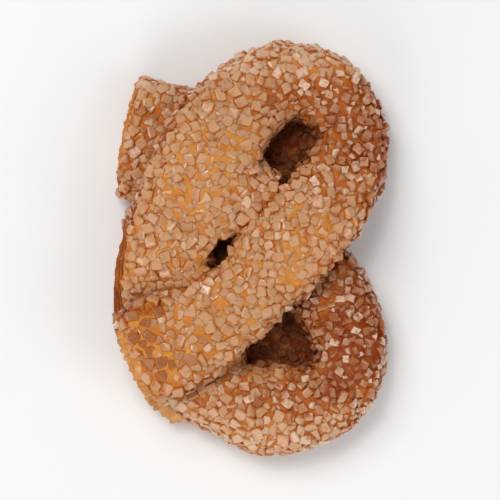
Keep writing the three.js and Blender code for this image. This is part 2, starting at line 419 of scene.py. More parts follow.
# The stretches and fills baked into one skin, in millimetres.
def doughSkin():
    parts = [stretchMesh(cut) for cut in range(len(strip["cuts"]) - 1)]
    parts += [fillMesh(*fill) for fill in fills]
    faces, offset = [], 0
    for points, faceArrays in parts:
        faces += [own + offset for own in faceArrays]
        offset += len(points)
    rough = makePiece("dough_rough", np.vstack([points for points, _ in parts]), faces, {}, None, scale=1)
    remesh = rough.modifiers.new("skin", "REMESH")
    remesh.mode = "VOXEL"
    remesh.voxel_size = dough["voxel"]
    soften = rough.modifiers.new("soften", "SMOOTH")
    soften.factor = 0.5
    soften.iterations = dough["softening"]
    evaluated = rough.evaluated_get(bpy.context.evaluated_depsgraph_get())
    skin = bpy.data.meshes.new_from_object(evaluated)
    bpy.data.objects.remove(rough)
    return skin


# Where points lie on the strip: place, angle, and height in millimetres above its middle.
def placesOnStrip(points):
    spacing, count = 0.9, 60
    places, angles = ringsBetween(0, 1, int(stripLength / spacing), count)
    tree = treeOf(crustPoints(places, angles))
    nearest = np.array([tree.find(point)[1] for point in points])
    centre, _, side, top, sizes = stripFrames(places[nearest])
    across = ((points - centre) * side).sum(1)
    height = ((points - centre) * top).sum(1)
    return places[nearest], np.arctan2(height / sizes[:, 1], across / sizes[:, 0]), height


# How open to the sky and the sides points are, from 0 in a crevice to 1 on a crown. It is found
# at every few points, a little off the skin, and carried over to the rest from the nearest few.
def opennessAt(points, normals, faces, rays=14, reach=12.0, everyFew=7, lift=0.4, few=5):
    tree = bvhtree.BVHTree.FromPolygons(points.tolist(), faces.tolist())
    spread = np.random.default_rng(dough["seed"]).normal(size=(rays, 3))
    chosen = np.arange(0, len(points), everyFew)
    clear = np.zeros(len(chosen))
    directions = unit(unit(spread)[None] + 1.02 * normals[chosen][:, None])
    starts = points[chosen] + normals[chosen] * lift
    for i, start in enumerate(starts):
        origin = Vector(start)
        hits = [tree.ray_cast(origin, Vector(ray), reach)[0] is None for ray in directions[i]]
        clear[i] = sum(hits) / rays
    found = treeOf(points[chosen])
    near = np.array([[item[1] for item in found.find_n(point, few)] for point in points])
    return clear[near].mean(1)


skin = doughSkin()
skinPoints = openPit(readVectors(skin.vertices, "co"))
skinNormals = readVectors(skin.vertex_normals, "vector")
skinFaces = readQuads(skin)
skinPlace, skinAngle, skinHeight = placesOnStrip(skinPoints)
skinOpen = opennessAt(skinPoints, skinNormals, skinFaces)
print("dough skin:", len(skinPoints), "points")


# How far each point of the skin lies to a side of its stretch, from 0 above or below to 1.
skinFlank = smooth(0.3, 0.7, np.abs(np.cos(skinAngle)))


def alongRoute(values):
    return np.interp(skinPlace * lastPlace, np.arange(len(route)), values)


# The upright sides of the flat stretches, where the layers show and hardly any sugar holds.
def wallAt():
    flatStretch = smooth(2.45, 2.9, alongRoute([squareness for *_, squareness in sectionSizes]))
    return flatStretch * smooth(0.62, 0.25, skinNormals[:, 2]) * skinFlank


bareSide = {
    "edge": -29.7,
    "middle": -3.0,
    "half": 11.5,
    "waver": 0.9,  # how far the edge wanders, and over what length
    "waverGrain": 4,
    "fade": 0.6,
}


# The side under the belly's outer edge, which has stayed bare.
def bareAt():
    edge, half, fade = bareSide["edge"], bareSide["half"], bareSide["fade"]
    ragged = skinPoints[:, 0] + bareSide["waver"] * grainNoise(skinPoints, bareSide["waverGrain"], 59)
    apart = np.abs(skinPoints[:, 1] - bareSide["middle"])
    return smooth(edge + fade, edge - fade, ragged) * smooth(half + 1.5, half - 1.0, apart)


# The cut faces, where the layers are open.
def cutAt():
    facing = np.abs((stripFrames(skinPlace)[1] * skinNormals).sum(1))
    toEnd = np.minimum(skinPlace, 1 - skinPlace) * stripLength
    return smooth(0.74, 0.92, facing) * smooth(4.0, 2.0, toEnd)


skinWall, skinBare, skinCut = wallAt(), bareAt(), cutAt()

# Creases are left along these lines where stretches have baked onto each other: a dent in the crust,
# darkened with painted shade.
creases = {
    "lines": [
        [(-30, -14.5), (-24, -14), (-20, -11), (-12, -6.5), (-8.5, -3.5)],
        [(-5, 3), (0, 7.5), (5, 12.5), (7.5, 16)],
        [(22.5, 0.5), (18.5, -4.5)],
    ],
    "width": 1.7,
    "depth": 0.55,
    "waver": 0.5,
    "heights": (8, 12),  # below the first there is no crease, and above the second all of it
}


# How near points are to a crease, from 0 to 1 in its middle.
def creaseAt(points):
    nearest = np.full(len(points), np.inf)
    for line in creases["lines"]:
        for start, end in zip(line, line[1:]):
            ahead = np.subtract(end, start)
            share = np.clip((points[:, :2] - start) @ ahead / (ahead @ ahead), 0, 1)
            apart = points[:, :2] - start - share[:, None] * ahead
            nearest = np.minimum(nearest, np.linalg.norm(apart, axis=1))
    wavering = nearest + creases["waver"] * grainNoise(points, 3, 53)
    return smooth(creases["width"], 0.2, wavering) * smooth(*creases["heights"], points[:, 2])


skinCrease = creaseAt(skinPoints)


# How near points are to those outer edges of the pastry that are painted paler, as light from the pale
# surroundings would make them.
def paintedEdgeLightAt(points):
    x, y = points[:, 0], points[:, 1]
    ends = smooth(37, 44, np.abs(y))
    lowerLeft = smooth(35, 40, -0.63 * x - 0.77 * y)
    upperLeft = 0.8 * smooth(37, 42, 0.87 * y - 0.50 * x) * smooth(33, 38, y)
    lowerRight = 0.7 * smooth(38, 43, 0.60 * x - 0.80 * y)
    return np.maximum.reduce([ends, lowerLeft, upperLeft, lowerRight])


bake = {  # what is added to the browning along the strip, or taken from it
    "outerSide": 0.18,  # of a bend
    "innerSide": 0.35,
    "sheltered": 0.25,
    "patches": 0.16,
    "patchGrain": 9,
    "specks": 0.10,
    "speckGrain": 2.5,
    "wall": 0.5,
    "bareSide": 0.04,
    # painted shade: how much darker the creases are made
    "crease": 0.28,
    "paintedEdgeLight": 0.7,  # painted light: share of the browning that is taken away there
    "cutFace": 0.34,  # how brown the cut faces and the underside are
    "underside": 0.72,
    "most": 1.1,
}


# How far the crust has browned at each point of the skin, with painted light that pales some outer edges
# and painted shade that darkens the creases.
def browningAndPaintedLightAt():
    along = alongRoute(browning)
    across = np.cos(skinAngle)
    outerSide = smooth(0.55, 0.95, -across)
    innerSide = smooth(0.35, 0.9, across) * smooth(0.3, 0.6, along)
    sheltered = 1 - smooth(0.45, 0.9, skinOpen)
    browned = along + bake["outerSide"] * outerSide - bake["innerSide"] * innerSide
    browned -= bake["sheltered"] * sheltered
    patches = bake["patches"] * layeredNoise(skinPoints, bake["patchGrain"], 61)
    browned += patches + bake["specks"] * grainNoise(skinPoints, bake["speckGrain"], 67)
    browned += bake["wall"] * skinWall * (1 - browned) + bake["bareSide"] * skinBare
    # Painted light: some outer edges are made paler, as the pale surroundings would light them.
    browned *= 1 - bake["paintedEdgeLight"] * paintedEdgeLightAt(skinPoints)
    cutFace = bake["cutFace"] + 0.12 * grainNoise(skinPoints, 3, 63)
    # Painted shade darkens the creases.
    browned = blend(browned, cutFace, skinCut) + bake["crease"] * skinCrease
    underneath = smooth(0.2, 0.7, -skinNormals[:, 2]) * smooth(3, 0.5, skinPoints[:, 2])
    return np.clip(blend(browned, bake["underside"], underneath), 0, bake["most"])


# Painted shade on the crust and the sugar in the holes, the pit and the grooves: where it lies and how
# dark it is.
holes = {
    "places": [  # middle, how far the shade reaches at full and at all, and how it climbs the sides
        ((8.2, 24.6), 8.0, 11.0, 0.9),
        ((7.6, -21.6), 9.0, 11.5, 0.0),
    ],
    "heights": (13.5, 7.0),  # where the shade starts and where it is full
    "shade": 0.9,
    "grooveShade": 0.4,
    "pitShade": 0.75,
}


# How much painted shade each point of the skin gets: most in a hole, less in the pit, least in a mere
# groove.
def paintedShadeAt():
    deep = 1 - smooth(0.12, 0.5, skinOpen)
    pitGap = np.linalg.norm(skinPoints[:, :2] - pit["middle"], axis=1)
    paintedShade = deep * blend(holes["grooveShade"], holes["pitShade"], smooth(5, 3, pitGap))
    starts, full = holes["heights"]
    for middle, near, far, climbing in holes["places"]:
        apart = skinPoints[:, :2] - middle
        inside = smooth(far, near, np.linalg.norm(apart, axis=1))
        shade = holes["shade"] * smooth(starts + climbing * np.abs(apart[:, 0]), full, skinPoints[:, 2])
        paintedShade = np.maximum(paintedShade, inside * np.maximum(shade, deep))
    return paintedShade


skinBrowningAndPaintedLight, skinPaintedShade = browningAndPaintedLightAt(), paintedShadeAt()

sugar = {
    "seed": 41,
    "tries": 26000,  # places tried for each size
    "sizes": (1.16, 1.0, 0.84, 0.68, 0.54),  # shares of the width, largest first
    "armWidth": 2.6,
    "lobeWidth": 1.95,
    "widthSpread": (0.92, 1.08),
    "armSpacing": 0.71,  # share of two crystals' mean width that lies between their middles
    "lobeSpacing": 0.98,
    "endSpacing": 0.92,
    "spacingSpread": (0.84, 1.16),
    "endLength": 13.0,
    "armStand": 0.42,  # how far a crystal of standWidth stands out of the crust
    "lobeStand": 0.82,
    "standWidth": 2.3,
    "standSpread": (0.5, 1.7),
    "crownHeights": (20.8, 22.2),  # up there a crystal stands out less
    "bareFoot": 2.0,
    "lengths": (0.95, 1.22),  # shares of the width
    "breadths": (0.80, 1.02),
    "grainTries": 42000,
    "grainWidth": (0.5, 1.0),
    "grainSpacing": 0.52,
    "grainStand": (0.2, 0.42),
    "toneSpread": (0.07, 0.26),  # where the crust is pale, and where it is brown or near the end
}


# Places picked at random all over the skin, with the skin's values there.
def pickPlaces(count, draws):
    corners = skinPoints[skinFaces]
    area = np.linalg.norm(np.cross(corners[:, 2] - corners[:, 0], corners[:, 3] - corners[:, 1]), axis=1)
    chosen = draws.choice(len(skinFaces), count, p=area / area.sum())
    u, v = draws.random((2, count))
    shares = np.column_stack([(1 - u) * (1 - v), u * (1 - v), u * v, (1 - u) * v])

    def across(values):
        atCorners = values[skinFaces[chosen]]
        return (atCorners * (shares[:, :, None] if atCorners.ndim == 3 else shares)).sum(1)

    found = {
        "point": across(skinPoints),
        "normal": unit(across(skinNormals)),
        "browned": across(skinBrowningAndPaintedLight),
        "paintedShade": across(skinPaintedShade),
        "place": skinPlace[skinFaces[chosen, 0]],
        "wall": across(skinWall),
        "bare": np.maximum(across(skinBare), across(skinCut)),
        "crease": across(skinCrease),
    }
    found["arm"] = 1 - smooth(0.28, 0.62, found["browned"])
    return found


def picked(places, chosen):
    return {key: values[chosen] for key, values in places.items()}


# Takes the share of the places that luck allows, one by one, where they clear those taken before.
def takeClear(places, reach, share, draws, taken):
    cell = 3.4  # about as far as two of the largest crystals keep apart
    near = (0, -1, 1)
    allowed = np.flatnonzero(draws.random(len(share)) < share)
    kept = []
    for i, point, own in zip(allowed, places["point"][allowed].tolist(), reach[allowed].tolist()):
        x, y, z = (int(value // cell) for value in point)
        cells = ((x + a, y + b, z + c) for a in near for b in near for c in near)
        others = (other for key in cells for other in taken.get(key, ()))
        if all(math.dist(point, spot) >= own + far for spot, far in others):
            taken.setdefault((x, y, z), []).append((point, own))
            kept.append(i)
    return picked(places, kept)


# From 1 at the upper end of the strip to 0 at the end's length from it.
def nearUpperEnd(places):
    return 1 - smooth(0.4, 1.0, places * stripLength / sugar["endLength"])


# Each place of a crystal, with the skin's values there and the crystal's width.
def sugarPlaces():
    draws = np.random.default_rng(sugar["seed"])
    taken, kept = {}, []
    for size in sugar["sizes"]:
        found = pickPlaces(sugar["tries"], draws)
        width = blend(sugar["lobeWidth"], sugar["armWidth"], found["arm"]) * size
        width *= draws.uniform(*sugar["widthSpread"], len(width)) * (1 - 0.3 * found["paintedShade"])
        spacing = blend(sugar["lobeSpacing"], sugar["armSpacing"], found["arm"])
        spacing = blend(spacing, sugar["endSpacing"], nearUpperEnd(found["place"]))
        spacing *= draws.uniform(*sugar["spacingSpread"], len(width))
        spacing *= 1 + 0.4 * found["paintedShade"]
        low = smooth(sugar["bareFoot"], sugar["bareFoot"] + 3, found["point"][:, 2])
        facing = smooth(-0.45, 0.25, found["normal"][:, 2])
        share = low * facing * (1 - 0.94 * found["wall"]) * (found["bare"] < 0.3)
        share *= (1 - 0.6 * found["paintedShade"]) * (found["crease"] < 0.55)
        found["width"] = width
        kept.append(takeClear(found, width * spacing / 2, share, draws, taken))
    return {key: np.concatenate([part[key] for part in kept]) for key in kept[0]}, taken


crystals, takenPlaces = sugarPlaces()
print("crystals:", len(crystals["width"]))


# The same for the small grains, which take what room the crystals have left.
def grainPlaces():
    draws = np.random.default_rng(sugar["seed"] + 1)
    found = pickPlaces(sugar["grainTries"], draws)
    found["width"] = draws.uniform(*sugar["grainWidth"], len(found["browned"]))
    low = smooth(1.0, 4.0, found["point"][:, 2])
    facing = smooth(-0.5, 0.2, found["normal"][:, 2])
    share = low * facing * (1 - 0.9 * found["wall"]) * (1 - 0.97 * found["bare"])
    return takeClear(found, found["width"] * sugar["grainSpacing"], share, draws, takenPlaces)


grains = grainPlaces()
print("grains:", len(grains["width"]))


# Each shape is closed and about 1 across, to be scaled and set in the crust: (points, triangles).
def grainShape(draws):
    shape = bmesh.new()
    for point in unit(draws.normal(size=(11, 3))) * draws.uniform(0.42, 0.56, (11, 1)):
        shape.verts.new(point)
    made = bmesh.ops.convex_hull(shape, input=shape.verts)
    loose = [v for v in made["geom_interior"] + made["geom_unused"] if isinstance(v, bmesh.types.BMVert)]
    bmesh.ops.delete(shape, geom=list(set(loose)), context="VERTS")
    bmesh.ops.triangulate(shape, faces=shape.faces)
    bmesh.ops.recalc_face_normals(shape, faces=shape.faces)
    return arraysOf(shape)


# A block with worn edges and a few flats, skewed a little. flatShare is how much of each side is
# flat, and cuts are how many corners are cut off.
def wornBlock(draws, flatShare, squareness, cuts, cutDepth):
    shape = bmesh.new()
    bmesh.ops.create_cube(shape, size=2)
    bmesh.ops.subdivide_edges(shape, edges=shape.edges, cuts=2, use_grid_fill=True)
    bmesh.ops.triangulate(shape, faces=shape.faces)
    points, faces = arraysOf(shape)
    points = np.sign(points) * np.where(np.abs(points) > 0.9, 1, flatShare)
    rounding = draws.uniform(*squareness)
    points /= (np.abs(points) ** rounding).sum(1, keepdims=True) ** (1 / rounding)
    for flat in unit(draws.normal(size=(cuts, 3)) * (1, 1, 0.6)):
        past = np.maximum(0, points @ flat - draws.uniform(*cutDepth))
        points -= flat * (past * 0.92)[:, None]
    points = points @ (np.eye(3) + draws.normal(size=(3, 3)) * 0.09)
    points += 0.02 * draws.normal(size=points.shape)
    return points / 2, faces


def cobbleShape(draws):
    return wornBlock(draws, 0.64, (4.5, 7), 3, (0.92, 1.15))


def blockShape(draws):
    return wornBlock(draws, 0.74, (6, 11), 4, (0.9, 1.2))


# The box that the sugar and the ragged layers stay inside: the solid's, and a little more.
outerBox = np.array(cadBox) / mm + [(-0.9, -0.9, 0), (0.9, 0.9, 0.5)]


# Many copies of a few shapes as one mesh, each turned its own way on the crust.
def scatter(places, shapes, draws, stand, tilt, thickness):
    count = len(places["width"])
    normal = unit(places["normal"] + draws.normal(size=(count, 3)) * tilt)
    spare = unit(np.cross(normal, unit(draws.normal(size=(count, 3)))))
    axes = np.stack([spare, np.cross(normal, spare), normal], axis=2)
    sizes = np.column_stack([
        places["width"] * draws.uniform(*sugar["lengths"], count),
        places["width"] * draws.uniform(*sugar["breadths"], count),
        places["width"] * draws.uniform(*thickness, count),
    ])
    sunk = sizes[:, 2] / 2 - stand
    centres = places["point"] - places["normal"] * sunk[:, None]
    kind = draws.integers(len(shapes), size=count)
    brown = smooth(0.25, 0.75, places["browned"])
    ending = nearUpperEnd(places["place"])
    tone = 0.5 + draws.normal(size=count) * blend(*sugar["toneSpread"], np.maximum(brown, ending))
    # Crystals near some outer edges are made lighter: painted light from the pale surroundings.
    tone = np.clip(tone + 0.09 * brown - 0.28 * ending + 0.22 * paintedEdgeLightAt(places["point"]), 0, 1)
    points, faces, offset = [], [], 0
    values = {"tone": [], "rim": [], "depth": [], "browned": [], "paintedShade": []}
    for index, (shape, triangles) in enumerate(shapes):
        own = np.flatnonzero(kind == index)
        scaled = shape[None] * sizes[own][:, None]
        moved = np.einsum("nij,nkj->nki", axes[own], scaled) + centres[own][:, None]
        inside = ((moved > outerBox[0]) & (moved < outerBox[1])).all(axis=(1, 2))
        own, moved = own[inside], moved[inside]
        if not len(own):
            continue
        points.append(moved.reshape(-1, 3))
        starts = offset + np.arange(len(own)) * len(shape)
        faces.append((triangles[None] + starts[:, None, None]).reshape(-1, 3))
        offset += len(own) * len(shape)
        depth = ((moved - places["point"][own][:, None]) * places["normal"][own][:, None]).sum(2)
        values["depth"].append((depth / np.maximum(stand[own], 0.2)[:, None]).ravel())
        values["rim"].append(np.tile(2 * np.abs(shape[:, :2]).max(1), len(own)))
        for key, numbers in (("tone", tone), ("browned", places["browned"]), ("paintedShade", places["paintedShade"])):
            values[key].append(np.repeat(numbers[own], len(shape)))
    joined = {key: np.concatenate(parts) for key, parts in values.items()}
    return np.vstack(points), np.vstack(faces), joined


# The crust between the crystals: layers along the sides, wrinkles, crumb, syrup and a worn foot.
def crustRelief():
    points, normals = skinPoints, skinNormals
    centres = treeOf(crystals["point"])
    nearest = [centres.find(point) for point in points]
    gap = np.array([item[2] for item in nearest]) / crystals["width"][[item[1] for item in nearest]]
    syrup = 1 - smooth(*dough["syrupReach"], gap)

    onSide = np.maximum(smooth(0.9, 0.45, np.abs(normals[:, 2])) * skinFlank, skinCut)
    broad, fine = dough["layerWander"]
    wander = broad * grainNoise(points, 11, 71) + fine * grainNoise(points, 4, 73)
    layers = 0.5 + 0.5 * np.cos(2 * math.pi * (skinHeight / dough["layerPitch"] + wander))
    layers = layers ** 1.4 * blend(0.6, 1.0, smooth(-0.4, 0.5, grainNoise(points, 5, 79)))

    relief = dough["layerDepth"] * onSide * (2 * layers - 1)
    relief += dough["wrinkleDepth"] * grainNoise(points, dough["wrinkleGrain"], 83)
    relief += dough["crumbDepth"] * layeredNoise(points, dough["crumbGrain"], 89, 2)
    relief += dough["meniscus"] * (syrup - 0.5)
    lumps = dough["hiddenDepth"] * skinPaintedShade * layeredNoise(points, 3, 91, 2)
    relief += lumps - creases["depth"] * skinCrease
    moved = points + normals * relief[:, None]
    hollows = dough["footDepth"] * smooth(-0.1, 0.9, layeredNoise(points, dough["footGrain"], 97))
    flat = points[:, 2] < dough["footHeight"]
    moved[:, 2] = np.where(flat, np.maximum(points[:, 2] + hollows, 0), np.maximum(moved[:, 2], 0))
    # The values the materials read: browned, which also holds painted light on some outer edges and
    # painted shade in the creases, and the painted shade of the holes, mottled.
    return moved, {
        "browned": skinBrowningAndPaintedLight,
        "paintedShade": np.clip(skinPaintedShade * (1 + 0.5 * layeredNoise(points, 2.2, 93, 2)), 0, 1.1),
        "syrup": syrup,
        "layers": 1 - onSide * (1 - layers),
    }


# A colour as Blender mixes it, from its red, green and blue out of 255.
def linear(red, green, blue):
    values = np.array([red, green, blue]) / 255
    values = np.where(values <= 0.04045, values / 12.92, ((values + 0.055) / 1.055) ** 2.4)
    return (*values, 1)


# An input is fed with a number, a colour, or a socket to link from.
def feed(tree, node, inputs):
    for name, value in inputs.items():
        if isinstance(value, bpy.types.NodeSocket):
            tree.links.new(value, node.inputs[name])
        else:
            node.inputs[name].default_value = value


def addNode(tree, kind, inputs, **settings):
    node = tree.nodes.new(kind)
    for name, value in settings.items():
        setattr(node, name, value)
    feed(tree, node, inputs)
    return node


def maths(tree, operation, first, second, clamped=False):
    settings = {"operation": operation, "use_clamp": clamped}
    return addNode(tree, "ShaderNodeMath", {0: first, 1: second}, **settings).outputs[0]


def mixColours(tree, share, first, second, method="MIX"):
    inputs = {0: share, 6: first, 7: second}
    return addNode(tree, "ShaderNodeMix", inputs, data_type="RGBA", blend_type=method).outputs[2]


def remap(tree, value, low, high, toLow=0.0, toHigh=1.0):
    sockets = {"Value": value, "From Min": low, "From Max": high, "To Min": toLow, "To Max": toHigh}
    return addNode(tree, "ShaderNodeMapRange", sockets, interpolation_type="SMOOTHSTEP").outputs[0]


# The value of that name at the piece's own points.
def pieceValue(tree, name):
    return addNode(tree, "ShaderNodeAttribute", {}, attribute_name=name).outputs["Fac"]


# The place in the piece's own space, in metres.
def pieceSpace(tree):
    return addNode(tree, "ShaderNodeTexCoord", {}).outputs["Object"]


def noiseOver(tree, scale, detail):
    inputs = {"Vector": pieceSpace(tree), "Scale": scale, "Detail": detail}
    return addNode(tree, "ShaderNodeTexNoise", inputs).outputs[0]


def newGroup(name, inputs, outputs):
    group = bpy.data.node_groups.new(name, "ShaderNodeTree")
    for label, kind, value in inputs:
        group.interface.new_socket(label, in_out="INPUT", socket_type=kind).default_value = value
    for label, kind in outputs:
        group.interface.new_socket(label, in_out="OUTPUT", socket_type=kind)
    return group, group.nodes.new("NodeGroupInput").outputs, group.nodes.new("NodeGroupOutput")


def placeGroup(tree, group, inputs):
    return addNode(tree, "ShaderNodeGroup", inputs, node_tree=group).outputs


# The colour of dough from barely set to deep brown, mottled as it bakes.
def bakedToneGroup():
    group, given, result = newGroup(
        "baked_tone",
        [
            ("Browned", "NodeSocketFloat", 0.5),
            ("Mottle Grain", "NodeSocketFloat", 600.0),
            ("Mottle Strength", "NodeSocketFloat", 0.2),
            ("Pale", "NodeSocketColor", (1, 1, 1, 1)),
            ("Golden", "NodeSocketColor", (1, 1, 1, 1)),
            ("Deep", "NodeSocketColor", (1, 1, 1, 1)),
        ],
        [("Color", "NodeSocketColor")],
    )
    noise = maths(group, "SUBTRACT", noiseOver(group, given["Mottle Grain"], 3.0), 0.5)
    shift = maths(group, "MULTIPLY", noise, given["Mottle Strength"])
    browned = maths(group, "ADD", given["Browned"], shift)
    toGolden = remap(group, browned, 0.0, 0.45)
    toDeep = remap(group, browned, 0.4, 1.05)
    lighter = mixColours(group, toGolden, given["Pale"], given["Golden"])
    feed(group, result, {"Color": mixColours(group, toDeep, lighter, given["Deep"])})
    return group


# Fine unevenness, as a height: a soft grain with small pits.
def fineGrainGroup():
    group, given, result = newGroup(
        "fine_grain",
        [("Grain", "NodeSocketFloat", 1500.0), ("Pits", "NodeSocketFloat", 0.4)],
        [("Height", "NodeSocketFloat")],
    )
    noise = noiseOver(group, given["Grain"], 4.0)
    cells = addNode(group, "ShaderNodeTexVoronoi", {"Vector": pieceSpace(group), "Scale": given["Grain"]})
    pits = maths(group, "MULTIPLY", remap(group, cells.outputs["Distance"], 0.0, 0.5), given["Pits"])
    feed(group, result, {"Height": maths(group, "ADD", noise, pits)})
    return group


bakedTone = bakedToneGroup()
fineGrain = fineGrainGroup()


def newMaterial(name):
    made = bpy.data.materials.new(name)
    made.use_nodes = True
    return made, made.node_tree, made.node_tree.nodes["Principled BSDF"]


# The baked tone at each point of a piece, in the colours of its look.
def bakedColour(tree, look):
    inputs = {
        "Browned": pieceValue(tree, "browned"),
        "Mottle Grain": look["mottleGrain"],
        "Mottle Strength": look["mottleStrength"],
        "Pale": look["pale"],
        "Golden": look["golden"],
        "Deep": look["deep"],
    }
    return placeGroup(tree, bakedTone, inputs)["Color"]


# The normal that a fine grain gives, with its bump's distance in metres.
def grainNormal(tree, grain, pits, distance, strength):
    height = placeGroup(tree, fineGrain, {"Grain": grain, "Pits": pits})["Height"]
    inputs = {"Height": height, "Strength": strength, "Distance": distance}
    return addNode(tree, "ShaderNodeBump", inputs).outputs[0]


crust = {
    "pale": linear(228, 164, 76),
    "golden": linear(200, 114, 38),
    "deep": linear(134, 54, 15),
    "syrup": linear(178, 92, 28),
    "syrupShare": 0.45,
    "between": (0.42, 0.33, 0.26, 1),  # painted shade: what the colour is multiplied by in the grooves between two layers
    "paintedShade": (0.36, 0.14, 0.08, 1),  # painted shade: what it is multiplied by deep in a hole, and less in the pit and grooves
    "mottleGrain": 560.0,
    "mottleStrength": 0.55,
    "roughness": (0.62, 0.36),  # dry and syrupy
}


def crustMaterial():
    made, tree, shader = newMaterial("baked_crust")
    syrup, layers = pieceValue(tree, "syrup"), pieceValue(tree, "layers")
    share = maths(tree, "MULTIPLY", syrup, crust["syrupShare"])
    syrupy = mixColours(tree, share, bakedColour(tree, crust), crust["syrup"])
    # Painted shade: the grooves between layers and the deep parts of the holes are darkened.
    shaded = mixColours(tree, 1.0, syrupy, crust["between"], "MULTIPLY")
    colour = mixColours(tree, remap(tree, layers, 0.1, 0.75), shaded, syrupy)
    paintedShadeColour = mixColours(tree, 1.0, colour, crust["paintedShade"], "MULTIPLY")
    colour = mixColours(tree, pieceValue(tree, "paintedShade"), colour, paintedShadeColour)
    feed(tree, shader, {
        "Base Color": colour,
        "Roughness": remap(tree, syrup, 0.0, 1.0, *crust["roughness"]),
        "Normal": grainNormal(tree, 1400.0, 0.5, 0.00035, 0.8),
        "Subsurface Weight": 0.12,
        "Subsurface Radius": (1.0, 0.45, 0.2),
        "Subsurface Scale": 0.0012,
        "Specular IOR Level": 0.15,
    })
    return made


sugarLook = {
    "arm": linear(203, 155, 112),
    "lobe": linear(172, 119, 82),
    "paintedHighlight": linear(224, 194, 166),  # painted highlight on the few that catch the light
    "amber": linear(160, 98, 50),  # and the few that are clear
    "foot": linear(186, 102, 34),
    "deepFoot": linear(150, 60, 14),
    "paintedShade": (0.34, 0.18, 0.11, 1),  # painted shade: what the colour is multiplied by deep in a hole
    "cloudGrain": 1100.0,
    "cloudStrength": 2.6,
    "rimStrength": -0.55,  # how much of the frosting the rims of a crystal have lost
}


def sugarMaterial(name, roughness, grain):
    made, tree, shader = newMaterial(name)
    depth, tone = pieceValue(tree, "depth"), pieceValue(tree, "tone")
    browned, paintedShade = pieceValue(tree, "browned"), pieceValue(tree, "paintedShade")
    top = mixColours(tree, remap(tree, browned, 0.2, 1.1), sugarLook["arm"], sugarLook["lobe"])
    top = mixColours(tree, remap(tree, tone, 0.0, 0.55), sugarLook["amber"], top)
    # The highest tones take a painted highlight.
    top = mixColours(tree, remap(tree, tone, 0.55, 1.0), top, sugarLook["paintedHighlight"])
    foot = mixColours(tree, browned, sugarLook["foot"], sugarLook["deepFoot"])
    cloud = noiseOver(tree, sugarLook["cloudGrain"], 3.0)
    clouded = maths(tree, "MULTIPLY", maths(tree, "SUBTRACT", cloud, 0.5), sugarLook["cloudStrength"])
    nearRim = remap(tree, pieceValue(tree, "rim"), 0.6, 1.0)
    rim = maths(tree, "MULTIPLY", nearRim, sugarLook["rimStrength"])
    frosting = maths(tree, "ADD", maths(tree, "ADD", maths(tree, "MINIMUM", depth, 1.0), clouded), rim)
    colour = mixColours(tree, remap(tree, frosting, -0.3, 0.95), foot, top)
    # Deep in holes and grooves the colour takes painted shade.
    paintedShadeColour = mixColours(tree, 1.0, colour, sugarLook["paintedShade"], "MULTIPLY")
    worn = remap(tree, cloud, 0.35, 0.65, *roughness)
    dull = maths(tree, "MULTIPLY", paintedShade, 0.5)
    feed(tree, shader, {
        "Base Color": mixColours(tree, paintedShade, colour, paintedShadeColour),
        "Roughness": maths(tree, "ADD", worn, dull, clamped=True),
        "Coat Weight": remap(tree, paintedShade, 0.0, 0.6, 0.3, 0.0),
        "Normal": grainNormal(tree, grain, 0.3, 0.00008, 0.6),
        "IOR": 1.52,
        "Specular IOR Level": 0.25,
        "Subsurface Weight": 0.6,
        "Subsurface Radius": (1.0, 0.9, 0.8),
        "Subsurface Scale": 0.0008,
        "Coat Roughness": 0.12,
    })
    return made


def addDough():
    points, values = crustRelief()
    piece = makePiece("baked_dough", points, [skinFaces], values, crustMaterial())
    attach(piece, "root")
    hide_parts("pastry_twist")
    print("dough:", len(skinFaces) * 2, "triangles")


sugarKinds = {  # shape, how many different ones, tilt, thickness as shares of the width, and finish
    "sugar_cobbles": (cobbleShape, 20, 0.22, (0.66, 0.86), ((0.40, 0.20), 1500.0)),
    "sugar_blocks": (blockShape, 22, 0.32, (0.80, 1.02), ((0.36, 0.16), 1800.0)),
    "sugar_grains": (grainShape, 16, 0.5, (0.7, 1.0), ((0.4, 0.22), 2500.0)),
}


def shapesOf(name, draws):
    shape, variety, *_ = sugarKinds[name]
    return [shape(draws) for _ in range(variety)]


def addSugarPiece(name, places, shapes, stand, draws):
    *_, tilt, thickness, finish = sugarKinds[name]
    points, faces, values = scatter(places, shapes, draws, stand, tilt, thickness)
    piece = makePiece(name, points, [faces], values, sugarMaterial(name, *finish), False)
    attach(piece, "root")
    print(name + ":", len(places["width"]), "of them,", len(faces), "triangles")


# Cobbles lie mostly on the arms and blocks mostly on the lobes, with grains between them.
def addSugar():
    draws = np.random.default_rng(sugar["seed"] + 2)
    rounded = crystals["arm"] + draws.uniform(-0.3, 0.3, len(crystals["arm"])) > 0.5
    for name, chosen in (("sugar_cobbles", rounded), ("sugar_blocks", ~rounded)):
        places = picked(crystals, chosen)
        spread = np.exp(draws.normal(0, 0.26, len(places["arm"]))).clip(*sugar["standSpread"])
        stand = blend(sugar["lobeStand"], sugar["armStand"], places["arm"]) * spread
        stand = stand * places["width"] / sugar["standWidth"]
        stand *= blend(1, 0.7, smooth(*sugar["crownHeights"], places["point"][:, 2]))
        addSugarPiece(name, places, shapesOf(name, draws), stand, draws)
    shapes = shapesOf("sugar_grains", draws)
    stand = grains["width"] * draws.uniform(*sugar["grainStand"], len(grains["width"]))
    addSugarPiece("sugar_grains", grains, shapes, stand, draws)


flakes = {
    "pitch": 0.95,
    "thickness": (0.40, 0.10),  # at the root and at the edge
    "root": 2.2,  # how far a layer reaches into the dough
    "pitchSpread": 0.25,
    "reachSpread": 0.35,
    "drop": 1.6,  # how much less it reaches at its two sides
    "wave": (0.34, 0.12),  # height of its broad and fine waves
    "droop": (-0.25, 0.3),
    "seed": 23,
    # A ragged corner that has been pressed out under the upper end.
    "corner": ((-20.3, -37.0, 5.2), (-0.64, -0.77, 0), (0.77, -0.64, 0), (0, 0, 1), (5.6, 4.2, 2.4)),
}


